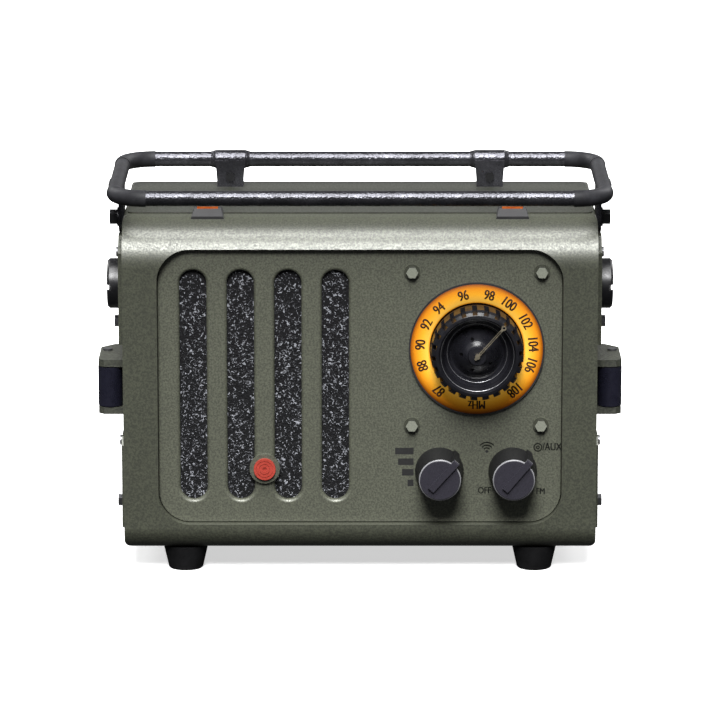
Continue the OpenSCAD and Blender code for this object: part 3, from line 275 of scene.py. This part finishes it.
def bolt_paint(name, face, shaded_flank, washer):
    """Painted hexagon bolt: a face lightened as a painted highlight, flanks darkened as painted shade,
    and a painted washer.
    """
    look = Look(name)
    grain = look.noise(0.5, 3, 0.6)
    out = look.out_of_panel(BOLT_RISE_MM)
    # Colour by height out of the panel: the washer, then flanks darkened as painted shade, then a face
    # lightened as a painted highlight.
    body = look.ramp(out, (0.20, washer), (0.26, shaded_flank), (0.90, shaded_flank), (0.97, face))
    body = look.mix(1.0, body, look.ramp(grain, (0.38, 0.85), (0.62, 1.15)), "MULTIPLY")
    look.bump(grain, 0.03, 0.6)
    return look.set(Base_Color=body, Roughness=look.ramp(grain, (0.3, 0.42), (0.7, 0.32)),
                    Specular_IOR_Level=0.8)


def hammered(name, colour, size_mm, rough):
    """Black hammered powder coat with a dusty cast."""
    look = Look(name)
    dimple = look.cells(size_mm)
    fine = look.noise(0.5, 3, 0.6)
    dusty = look.ramp(look.noise(14, 4, 0.6), (0.4, shade(colour, 0.8)), (0.7, shade(colour, 1.5)))
    look.bump(dimple, 0.26, 0.8)
    look.bump(fine, 0.02, 0.4)
    return look.set(Base_Color=dusty, Roughness=look.ramp(fine, (0.3, rough), (0.7, rough + 0.12)),
                    Metallic=0.8)


def moulded(name, colour, grain_mm, depth_mm, rough, spread, level=0.5):
    """Moulded plastic: a spark-eroded grain and faint finger marks."""
    look = Look(name)
    grain = look.noise(grain_mm, 2, 0.6)
    marks = look.noise(7, 4, 0.6, 0.6)
    look.bump(grain, depth_mm, 0.5)
    body = look.ramp(grain, (0.3, shade(colour, 0.8)), (0.7, shade(colour, 1.25)))
    body = look.mix(1.0, body, look.ramp(marks, (0.35, 0.9), (0.7, 1.12)), "MULTIPLY")
    return look.set(Base_Color=body, Roughness=look.ramp(marks, (0.35, rough), (0.68, rough + spread)),
                    Specular_IOR_Level=level)


def knob_plastic():
    """Grained black plastic: a dark skirt, a paler face, and a polished edge painted pale as a highlight.
    """
    look = Look("knob_black")
    out = look.out_of_panel(KNOB_SPAN_MM)
    grain = look.noise(0.42, 2, 0.6)
    look.bump(grain, 0.03, 0.5)
    face = look.ramp(grain, (0.3, (0.018, 0.017, 0.023)), (0.7, (0.030, 0.028, 0.038)))
    skirt = look.ramp(grain, (0.3, (0.004, 0.004, 0.0045)), (0.7, (0.008, 0.008, 0.009)))
    body = look.mix(look.ramp(out, (0.862, 0.0), (0.872, 1.0)), skirt, face)
    # The edge band is glossier, and its colour is also lightened as a painted highlight.
    rim = look.ramp(out, (0.858, 0.0), (0.866, 1.0), (0.880, 1.0), (0.886, 0.0))
    return look.set(Base_Color=look.mix(rim, body, (0.22, 0.22, 0.23)),
                    Roughness=look.maths("SUBTRACT", 0.56, look.maths("MULTIPLY", rim, 0.32)),
                    Specular_IOR_Level=0.22)


def metal(name, colour, rough, along="z"):
    """Brushed or turned metal: long fine scratches and slight tarnish."""
    look = Look(name)
    squeeze = {"x": (0.05, 1, 1), "y": (1, 0.05, 1), "z": (1, 1, 0.05)}[along]
    lines = look.noise(0.5, 3, 0.6, at=look.stretch(*squeeze))
    tarnish = look.noise(6, 4, 0.6)
    look.bump(lines, 0.012, 0.35)
    body = look.ramp(tarnish, (0.35, shade(colour, 0.82)), (0.65, shade(colour, 1.06)))
    return look.set(Base_Color=body, Metallic=1.0,
                    Roughness=look.ramp(lines, (0.3, rough), (0.7, rough + 0.16)))


def rubber(name, colour, rough=0.72):
    """Matt rubber with a faint pale bloom."""
    look = Look(name)
    grain = look.noise(0.35, 3, 0.6)
    bloom = look.noise(9, 4, 0.62)
    look.bump(grain, 0.03, 0.5)
    body = look.ramp(bloom, (0.38, colour), (0.72, shade(colour, 1.9)))
    return look.set(Base_Color=body, Roughness=look.ramp(grain, (0.3, rough - 0.08), (0.7, rough + 0.1)),
                    Specular_IOR_Level=0.14)


def foam():
    """Open-cell foam: wormy grey strands over black pores."""
    look = Look("foam_cells")
    worms = look.noise(1.7, 1, 0.5, 1.6)
    fine = look.noise(1.5, 1, 0.5, 0.5)
    strand = look.ramp(worms, (0.57, 0.0), (0.68, 1.0))
    strand = look.maths("MULTIPLY", strand, look.ramp(fine, (0.38, 0.0), (0.52, 1.0)))
    look.bump(worms, 0.7, 0.9)
    body = look.mix(strand, (0.002, 0.002, 0.003), (0.30, 0.31, 0.34))
    return look.set(Base_Color=body, Roughness=0.75, Specular_IOR_Level=0.3)


def amber_ring():
    """Back-lit amber resin: yellow towards the knob, deep orange at the rim, and the tuning tyre's shadow
    painted darker at the bottom.
    """
    look = Look("amber_ring")
    radius = look.radius(DIAL[0], DIAL[2])
    out = look.maths("DIVIDE", look.maths("SUBTRACT", radius, DIAL_IN_R), DIAL_WIDTH)
    glow = look.ramp(out, (0.0, (0.62, 0.22, 0.01)), (0.10, (0.80, 0.44, 0.06)),
                     (0.45, (0.68, 0.31, 0.02)), (0.78, (0.50, 0.17, 0.006)), (1.0, (0.16, 0.035, 0.002)))
    # Painted shade by height: the tuning tyre's shadow darkens the bottom, the middle height is painted a
    # little brighter and the top slightly darker.
    height = look.maths("SUBTRACT", look.axis("Z"), DIAL[2] - DIAL_OUT_R)
    low = look.ramp(look.maths("DIVIDE", height, 2 * DIAL_OUT_R),
                    (0.0, 0.28), (0.13, 0.75), (0.28, 1.15), (0.55, 1.12), (1.0, 0.92))
    speck = look.ramp(look.noise(0.5, 3, 0.6), (0.3, 0.94), (0.7, 1.05))
    body = look.mix(1.0, look.mix(1.0, glow, low, "MULTIPLY"), speck, "MULTIPLY")
    look.bump(look.noise(1.1, 2, 0.5), 0.01, 0.3)
    return look.set(Base_Color=body, Roughness=look.ramp(look.noise(4, 3), (0.3, 0.42), (0.7, 0.55)),
                    Emission_Color=body, Emission_Strength=0.34, Specular_IOR_Level=0.15)


def amber_lens():
    """Ribbed amber plastic of the marker lamps."""
    look = Look("amber_lens")
    ribs = look.node("ShaderNodeTexWave", {"bands_direction": "X"}, Vector=look.where, Scale=260.0,
                     Distortion=0.0).outputs["Fac"]
    body = look.ramp(look.noise(2.5, 3), (0.3, (0.40, 0.07, 0.01)), (0.7, (0.52, 0.13, 0.025)))
    look.bump(ribs, 0.12, 0.6)
    return look.set(Base_Color=body, Roughness=0.25, Transmission_Weight=0.25, IOR=1.49)


def circuit_board():
    """Green solder mask over raised tracks."""
    look = Look("solder_mask")
    tracks = look.node("ShaderNodeTexBrick", {"offset": 0.37, "squash": 0.6}, Vector=look.where,
                       Scale=160.0, Mortar_Size=0.03).outputs["Fac"]
    weave = look.noise(0.9, 2)
    body = look.mix(tracks, (0.012, 0.10, 0.045), (0.03, 0.22, 0.10))
    body = look.mix(0.4, body, look.ramp(weave, (0.3, (0.01, 0.09, 0.04)), (0.7, (0.02, 0.16, 0.07))))
    look.bump(tracks, 0.05, 0.5)
    return look.set(Base_Color=body, Roughness=look.ramp(weave, (0.3, 0.3), (0.7, 0.45)))


def paper_cone():
    """Pressed pulp with fine rings round the cone's axis."""
    look = Look("pulp_cone")
    x, _, z = centre("speaker_cone")
    fibre = look.noise(0.9, 5, 0.7, 2.0)
    rings = look.maths("SINE", look.maths("MULTIPLY", look.radius(x, z), 2600.0))
    look.bump(rings, 0.05, 0.4)
    look.bump(fibre, 0.05, 0.6)
    body = look.ramp(fibre, (0.35, (0.010, 0.010, 0.011)), (0.7, (0.05, 0.048, 0.045)))
    return look.set(Base_Color=body, Roughness=0.88, Sheen_Weight=0.3)


def battery_wrap():
    """Blue shrink wrap with a pale band at one end."""
    look = Look("battery_wrap")
    along = look.maths("ADD", look.maths("MULTIPLY", look.axis("X"), 12.0), 0.5)
    band = look.ramp(along, (0.16, 1.0), (0.17, 0.0))
    shrink = look.noise(5, 4, 0.6, 0.4)
    wrap = look.ramp(shrink, (0.3, (0.02, 0.09, 0.26)), (0.7, (0.04, 0.15, 0.38)))
    body = look.mix(band, wrap, (0.75, 0.77, 0.8))
    look.bump(shrink, 0.12, 0.5)
    return look.set(Base_Color=body, Roughness=look.ramp(shrink, (0.3, 0.22), (0.7, 0.36)))


def printed(name, colour):
    """Screen-printed ink: slightly uneven cover and a satin face."""
    look = Look(name)
    cover = look.noise(0.6, 3, 0.6)
    body = look.ramp(cover, (0.3, shade(colour, 0.75)), (0.7, shade(colour, 1.3)))
    look.bump(cover, 0.01, 0.4)
    return look.set(Base_Color=body, Roughness=look.ramp(cover, (0.3, 0.5), (0.7, 0.66)))


OLIVE = (0.060, 0.064, 0.045)
LOOKS = {
    "case": sand_paint("olive_case", OLIVE),
    "panel": sand_paint("olive_panel", (0.093, 0.098, 0.071), rough=0.46),
    # The top plate takes the case's olive at half its brightness, as painted shade on the top.
    "shaded_lid": sand_paint("olive_shaded_lid", shade(OLIVE, 0.5)),
    "casting": sand_paint("olive_casting", shade(OLIVE, 0.7), 1.6, 0.3, 0.6),
    "olive_bolt": bolt_paint("olive_bolt", (0.20, 0.21, 0.17), shade(OLIVE, 0.3), shade(OLIVE, 1.3)),
    "rack": hammered("hammered_black", (0.050, 0.050, 0.057), 1.1, 0.24),
    "elbow": rubber("satin_black", (0.016, 0.016, 0.018), 0.5),
    "oxide": metal("black_oxide", (0.055, 0.055, 0.058), 0.32),
    "dark_steel": metal("dark_steel", (0.20, 0.20, 0.21), 0.32, "x"),
    "steel": metal("plated_steel", (0.62, 0.63, 0.65), 0.22, "y"),
    "brass": metal("turned_brass", (0.72, 0.52, 0.24), 0.24, "y"),
    "champagne": metal("champagne_needle", (0.86, 0.76, 0.56), 0.28, "x"),
    "silver": metal("silver_line", (0.62, 0.62, 0.64), 0.3, "y"),
    "rubber": rubber("black_rubber", (0.006, 0.006, 0.0065)),
    "tyre": moulded("tyre_black", (0.007, 0.007, 0.009), 0.5, 0.03, 0.30, 0.14, 0.30),
    "hub": moulded("hub_black", (0.010, 0.010, 0.013), 0.3, 0.008, 0.24, 0.12, 0.6),
    "disc": moulded("cap_black", (0.006, 0.006, 0.007), 0.4, 0.02, 0.3, 0.14),
    "lever": moulded("lever_black", (0.009, 0.009, 0.017), 0.5, 0.02, 0.24, 0.12),
    "knob": knob_plastic(),
    "black": moulded("black_plastic", (0.014, 0.014, 0.015), 0.45, 0.02, 0.5, 0.14),
    "red": moulded("red_button", (0.36, 0.045, 0.030), 0.5, 0.01, 0.34, 0.14),
    "milky": moulded("milky_diffuser", (0.80, 0.74, 0.60), 0.6, 0.01, 0.5, 0.1),
    "foam": foam(), "amber": amber_ring(), "lens": amber_lens(), "board": circuit_board(),
    "cone": paper_cone(), "battery": battery_wrap(),
    "label": printed("label_ink", (0.012, 0.012, 0.012)),
    "dial_ink": printed("dial_ink", (0.035, 0.012, 0.004)),
}
NODE_LOOKS = {
    "case": "front_shell rear_shell side_plates",
    "shaded_lid": "top_plate",
    "panel": "front_panel button_boss battery_cover",
    "casting": "latch_brackets latch_keepers",
    "olive_bolt": "dial_bolts",
    "rack": "rack_rails rack_clamps rack_brackets",
    "elbow": "rack_sides",
    "oxide": "speaker_basket cover_bolts rack_bolts",
    "dark_steel": "side_bolts latch_rivets",
    "steel": "tuner_shaft capacitor_frame volume_shaft volume_control mode_shaft control_nuts"
             " speaker_screws usb_socket latch_bail_left latch_bail_right",
    "brass": "tuner_bush capacitor_rotor board_posts aux_jack",
    "champagne": "tuner_needle",
    "rubber": "case_gasket port_flap feet",
    "tyre": "tuner_tyre",
    "hub": "tuner_hub",
    "disc": "side_discs",
    "lever": "latch_lever_left latch_lever_right",
    "knob": "volume_knob mode_knob",
    "black": "button_switch dial_bezel dial_backplate mode_switch speaker_baffle board_parts socket_tray"
             " marker_housings",
    "red": "red_button",
    "milky": "light_ring",
    "foam": "grille_foam",
    "amber": "dial_scale",
    "lens": "marker_lenses",
    "board": "main_board",
    "cone": "speaker_cone",
    "battery": "battery_pack",
}
EDGE_MM = {
    "front_shell": 0.9, "rear_shell": 0.5, "top_plate": 0.25, "front_panel": 0.4,
    "side_plates": 0.5, "latch_brackets": 0.6, "latch_keepers": 0.5, "dial_bolts": 0.25,
    "rack_brackets": 0.5, "rack_bolts": 0.25, "side_bolts": 0.25, "cover_bolts": 0.25,
    "volume_knob": 0.35, "mode_knob": 0.35, "tuner_tyre": 0.35, "tuner_hub": 0.2,
    "marker_housings": 0.4, "battery_cover": 0.4, "socket_tray": 0.3, "port_flap": 0.3,
    "side_discs": 0.4, "latch_lever_left": 0.3, "latch_lever_right": 0.3, "rack_clamps": 0.3,
    "red_button": 0.25, "button_boss": 0.3, "dial_bezel": 0.3, "feet": 0.4, "capacitor_frame": 0.15,
    "board_parts": 0.2, "volume_control": 0.2, "mode_switch": 0.3, "control_nuts": 0.2,
    "tuner_needle": 0.12,
}


def dress_nodes():
    """Gives each CAD node its material and, where it has a width in EDGE_MM, rounded edges."""
    for look, names in NODE_LOOKS.items():
        for name in names.split():
            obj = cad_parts[name]
            obj.data.materials.clear()
            obj.data.materials.append(LOOKS[look].mat)
            obj.data.polygons.foreach_set("use_smooth", [True] * len(obj.data.polygons))
            obj.data.set_sharp_from_angle(angle=math.radians(SHARP_DEG))
            if name in EDGE_MM:
                bevel = obj.modifiers.new("edge", "BEVEL")
                bevel.width = EDGE_MM[name] * MM
                bevel.segments = 2
                bevel.limit_method = "ANGLE"
                bevel.angle_limit = math.radians(BEVEL_DEG)
                bevel.harden_normals = True
                bevel.use_clamp_overlap = True


dress_nodes()


# ---- pieces that stand for print and trim ----

def add_piece(name, mesh, look, body):
    obj = bpy.data.objects.new(name, mesh)
    bpy.context.collection.objects.link(obj)
    mesh.materials.clear()
    mesh.materials.append(LOOKS[look].mat)
    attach(obj, body)


def ring_mesh(name, centre_at, radius, thick, sides=128, round_sides=10):
    """A round wire ring about an axis along Y."""
    verts, faces = [], []
    for i in range(sides):
        a = 2 * math.pi * i / sides
        for k in range(round_sides):
            b = 2 * math.pi * k / round_sides
            r = radius + thick * math.cos(b)
            verts.append((centre_at[0] + r * math.sin(a), centre_at[1] + thick * math.sin(b),
                          centre_at[2] + r * math.cos(a)))
            faces.append((i * round_sides + k, i * round_sides + (k + 1) % round_sides,
                          (i + 1) % sides * round_sides + (k + 1) % round_sides,
                          (i + 1) % sides * round_sides + k))
    mesh = bpy.data.meshes.new(name)
    mesh.from_pydata(verts, [], faces)
    mesh.polygons.foreach_set("use_smooth", [True] * len(faces))
    return mesh


def text_mesh(name, words, tall, narrow, heavy):
    """Flat letters in X and Y, centred: tall is in metres; heavy thickens them, in millimetres."""
    curve = bpy.data.curves.new(name, "FONT")
    curve.body = words
    curve.align_x, curve.align_y = "CENTER", "CENTER"
    curve.resolution_u = 6
    obj = bpy.data.objects.new(name, curve)
    bpy.context.collection.objects.link(obj)
    bpy.context.view_layer.update()
    mesh = bpy.data.meshes.new_from_object(obj.evaluated_get(bpy.context.evaluated_depsgraph_get()))
    bpy.data.objects.remove(obj)
    xs = [v.co.x for v in mesh.vertices]
    ys = [v.co.y for v in mesh.vertices]
    scale = tall / (max(ys) - min(ys))
    mesh.transform(Matrix.Translation((-(max(xs) + min(xs)) / 2, -(max(ys) + min(ys)) / 2, 0)))
    mesh.transform(Matrix.Diagonal((scale * narrow, scale, 1, 1)))
    bold = bmesh.new()
    for shift in (-heavy, 0, heavy):
        copy = mesh.copy()
        copy.transform(Matrix.Translation((shift * MM, 0, 0)))
        bold.from_mesh(copy)
    bold.to_mesh(mesh)
    bold.free()
    return mesh


def slab_from(outlines, name):
    """Flat polygons in X and Y, given in millimetres, as one mesh."""
    mesh = bpy.data.meshes.new(name)
    verts, faces = [], []
    for outline in outlines:
        faces.append(tuple(range(len(verts), len(verts) + len(outline))))
        verts += [(x * MM, y * MM, 0) for x, y in outline]
    mesh.from_pydata(verts, [], faces)
    return mesh


def rect(x0, y0, x1, y1):
    return [(x0, y0), (x1, y0), (x1, y1), (x0, y1)]


def stroke(points, wide):
    """Quads of the given width along a line of points."""
    out = []
    for (x0, y0), (x1, y1) in zip(points, points[1:]):
        length = math.hypot(x1 - x0, y1 - y0)
        nx, ny = -(y1 - y0) / length * wide / 2, (x1 - x0) / length * wide / 2
        ex, ey = (x1 - x0) / length * wide / 4, (y1 - y0) / length * wide / 4
        out.append([(x0 + nx - ex, y0 + ny - ey), (x0 - nx - ex, y0 - ny - ey),
                    (x1 - nx + ex, y1 - ny + ey), (x1 + nx + ex, y1 + ny + ey)])
    return out


def arc(cx, cy, r, start, end, steps=24):
    """Points on an arc; angles are in degrees, clockwise from straight up."""
    return [(cx + r * math.sin(math.radians(start + (end - start) * i / steps)),
             cy + r * math.cos(math.radians(start + (end - start) * i / steps)))
            for i in range(steps + 1)]


def print_on_panel(name, mesh, x, z):
    """Stands flat print up on the panel's face."""
    upright = Matrix.Rotation(math.pi / 2, 4, "X")
    mesh.transform(Matrix.Translation((x, PANEL_Y - PANEL_PRINT_LIFT, z)) @ upright)
    add_piece(name, mesh, "label", "chassis")


def add_panel_print():
    """Volume bars, the words round the mode knob and the generic signs."""
    vx, vz = VOLUME[0], VOLUME[2]
    mx, mz = MODE[0], MODE[2]
    bars = [rect(-long, z - BAR_HALF_MM, 0, z + BAR_HALF_MM)
            for long, z in ((9.8, 10.8), (8.2, 5.0), (6.1, -0.8), (3.2, -6.6))]
    print_on_panel("volume_bars", slab_from(bars, "volume_bars"), vx - 13.65 * MM, vz)
    print_on_panel("label_off", text_mesh("off", "OFF", 3.5 * MM, 0.8, 0.1),
                   mx - 14.9 * MM, mz - 10.6 * MM)
    print_on_panel("label_fm", text_mesh("fm", "FM", 3.3 * MM, 0.8, 0.1),
                   mx + 14.9 * MM, mz - 11.1 * MM)
    print_on_panel("label_aux", text_mesh("aux", "/AUX", 4.2 * MM, 0.72, 0.12),
                   mx + 20.8 * MM, mz + 13.2 * MM)
    waves = [p for r in (1.9, 3.4, 4.9) for p in stroke(arc(0, -3.0, r, -48, 48), 0.62)]
    waves.append(arc(0, -3.0, 0.75, 0, 360))
    print_on_panel("label_wireless", slab_from(waves, "wireless"), mx - 13.75 * MM, mz + 13.6 * MM)
    disc = stroke(arc(0, 0, 2.05, 0, 360, 40), 0.6) + stroke(arc(0, 0, 0.75, 0, 360, 24), 0.5)
    print_on_panel("label_disc", slab_from(disc, "disc"), mx + 13.25 * MM, mz + 12.8 * MM)


def crown_height(r_mm):
    """How far the numbered ring stands out of the panel at a radius."""
    return RING_RISE - CROWN_R_MM + math.sqrt(max(0.0, CROWN_R_MM ** 2 - (r_mm - CROWN_MID_R_MM) ** 2))


def add_dial_print():
    """Numbers laid on the ring's crown; each is cut in strips so that it follows the curve."""
    marks = [("87", -138), ("88", -107), ("90", -85), ("92", -63), ("94", -42), ("96", -14), ("98", 12.5),
             ("100", 35), ("102", 60), ("104", 85), ("106", 107), ("108", 138), ("MHz", 180)]
    whole = bmesh.new()
    for words, angle in marks:
        tall = UNIT_TALL_MM if words == "MHz" else DIGIT_TALL_MM
        mesh = text_mesh("dial_" + words, words, tall * MM, 0.74, 0.2)
        part = bmesh.new()
        part.from_mesh(mesh)
        low = min(v.co.y for v in part.verts)
        for i in range(1, 10):
            cut = low + i * CUT_STEP_MM * MM
            bmesh.ops.bisect_plane(part, geom=part.verts[:] + part.edges[:] + part.faces[:],
                                   plane_co=(0, cut, 0), plane_no=(0, 1, 0))
        turn = math.radians(angle)
        for v in part.verts:
            x, y = v.co.x, v.co.y + DIGIT_R_MM * MM
            r = math.hypot(x, y)
            out = crown_height(r / MM) * MM + DIAL_PRINT_LIFT
            a = math.atan2(x, y) + turn
            v.co = (DIAL[0] + r * math.sin(a), PANEL_Y - out, DIAL[2] + r * math.cos(a))
        part.to_mesh(mesh)
        whole.from_mesh(mesh)
        part.free()
    mesh = bpy.data.meshes.new("dial_numbers")
    whole.to_mesh(mesh)
    whole.free()
    add_piece("dial_numbers", mesh, "dial_ink", "chassis")


def add_tuner_trim():
    """Two fine bright lines on the tuning knob."""
    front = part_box("tuner_tyre")[0][1]
    for name, r, y in (("tyre_line", 19.2, front + 2.2 * MM), ("hub_line", 15.8, front + 8.5 * MM)):
        wire = ring_mesh(name, (DIAL[0], y, DIAL[2]), r * MM, TRIM_WIRE_MM * MM)
        add_piece(name, wire, "silver", "tuner")


add_panel_print()
add_dial_print()
add_tuner_trim()
